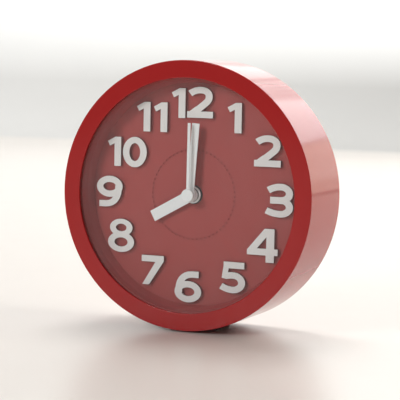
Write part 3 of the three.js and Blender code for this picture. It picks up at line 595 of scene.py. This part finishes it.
def make_stage():
    """A pale floor that curves up into a backdrop far behind the clock."""
    build = bmesh.new()
    near, far = -2.0, 1.46                           # the floor's ends, in metres
    half = 3.0
    bend = 0.6
    height = 2.4
    steps = 48
    outline = [(near, 0), (far, 0)]
    for i in range(1, steps + 1):
        angle = math.pi / 2 * i / steps
        outline.append((far + bend * math.sin(angle), bend - bend * math.cos(angle)))
    outline.append((far + bend, height))
    rows = [[build.verts.new((x, y, z)) for x in (-half, half)] for y, z in outline]
    for first, second in zip(rows, rows[1:]):
        build.faces.new([first[0], first[1], second[1], second[0]])
    mesh = bpy.data.meshes.new("stage_floor")
    build.to_mesh(mesh)
    build.free()
    floor = new_piece("stage_floor", mesh)
    floor.data.shade_smooth()
    floor.data.materials.append(stage_paint())


POWER_FACTOR = 4                                     # watts for a radiance of 1 from a square metre


def area_light(name, place, size, radiance, target=CENTRE, colour=(1, 1, 1)):
    """A soft panel that faces the target. It lights and is mirrored, and the camera doesn't see it."""
    data = bpy.data.lights.new(name, "AREA")
    data.shape = "RECTANGLE"
    data.size, data.size_y = size
    data.energy = radiance * POWER_FACTOR * size[0] * size[1]
    data.color = colour
    light = bpy.data.objects.new(name, data)
    light.location = place
    light.rotation_mode = "QUATERNION"
    light.rotation_quaternion = (Vector(target) - Vector(place)).to_track_quat("-Z", "Y")
    light.visible_camera = False
    bpy.context.scene.collection.objects.link(light)


WINDOW_PLANE = 1.45                                  # metres behind the clock
UPPER_ROW = (0.46, 0.95)                             # lowest and highest edge of the panels, in metres
LOWER_ROW = (0.014, 0.448)
STRIP_COUNT = 5
STRIP_START = -0.2125
STRIP_WIDTH = 0.035
STRIP_SPACING = 0.055


def window(name, sides, heights, radiance, colour=(1, 1, 1)):
    """An upright panel behind the clock, between two sides. The drum mirrors its edges as stripes."""
    x = sum(sides) / 2
    z = sum(heights) / 2
    size = (sides[1] - sides[0], heights[1] - heights[0])
    area_light(name, (x, WINDOW_PLANE, z), size, radiance, target=(x, 0, z), colour=colour)


def make_world():
    world = bpy.data.worlds.new("studio")
    world.use_nodes = True
    background = world.node_tree.nodes["Background"]
    background.inputs["Color"].default_value = (1, 0.99, 0.97, 1)
    background.inputs["Strength"].default_value = 0.3
    bpy.context.scene.world = world


def make_windows():
    """The panels that the drum's side mirrors: pale stripes above, and a warm glow below them."""
    window("window_back_left", (-0.67, -0.26), UPPER_ROW, radiance=0.85)
    for i in range(STRIP_COUNT):
        left = STRIP_START + STRIP_SPACING * i
        window(f"window_strip_{i}", (left, left + STRIP_WIDTH), UPPER_ROW, radiance=0.95)
    window("window_back_right", (0.055, 1.2), UPPER_ROW, radiance=1.75)
    window("window_low", (-0.2, 1.2), LOWER_ROW, radiance=1.2, colour=(1, 0.82, 0.67))


def make_light():
    make_world()
    area_light("window_above", (-0.4, 0.7, 1.9), (1.0, 1.0), radiance=6.2)
    make_windows()
    area_light("fill_right", (1.2, 0.3, 1.35), (0.9, 0.9), radiance=3.0, colour=(1, 0.91, 0.82))
    area_light("key_front", (-0.7, -1.65, 0.95), (0.5, 0.5), radiance=13.8)
    area_light("backdrop_light", (-0.8, 0.8, 1.7), (3.0, 0.5), radiance=4.4, target=(-0.8, 2.2, 0.9))


CAMERA_AZIMUTH = math.radians(24.16)
CAMERA_ELEVATION = math.radians(4.98)
CAMERA_ROLL = math.radians(1.05)
CAMERA_LENS = 144                                    # millimetres, on a sensor 36 wide
CAMERA_DISTANCE = 11.706 * RADIUS
CAMERA_AIM = (0.1328, -0.0201)                       # from the bezel's middle, in radii


def make_camera():
    data = bpy.data.cameras.new("camera")
    data.lens = CAMERA_LENS
    data.sensor_width = 36
    camera = bpy.data.objects.new("camera", data)
    bpy.context.scene.collection.objects.link(camera)
    aim = Vector((CAMERA_AIM[0] * RADIUS, FRONT, CENTRE.z + CAMERA_AIM[1] * RADIUS))
    back = Vector((
        math.sin(CAMERA_AZIMUTH) * math.cos(CAMERA_ELEVATION),
        -math.cos(CAMERA_AZIMUTH) * math.cos(CAMERA_ELEVATION),
        math.sin(CAMERA_ELEVATION),
    ))
    camera.location = aim + back * CAMERA_DISTANCE
    level = (-back).to_track_quat("-Z", "Y").to_matrix()
    camera.rotation_euler = (level @ Matrix.Rotation(CAMERA_ROLL, 3, "Z")).to_euler()
    data.clip_start = 0.01
    data.clip_end = 50
    bpy.context.scene.camera = camera


make_stage()
make_light()
make_camera()
bpy.context.scene.view_settings.view_transform = "Standard"
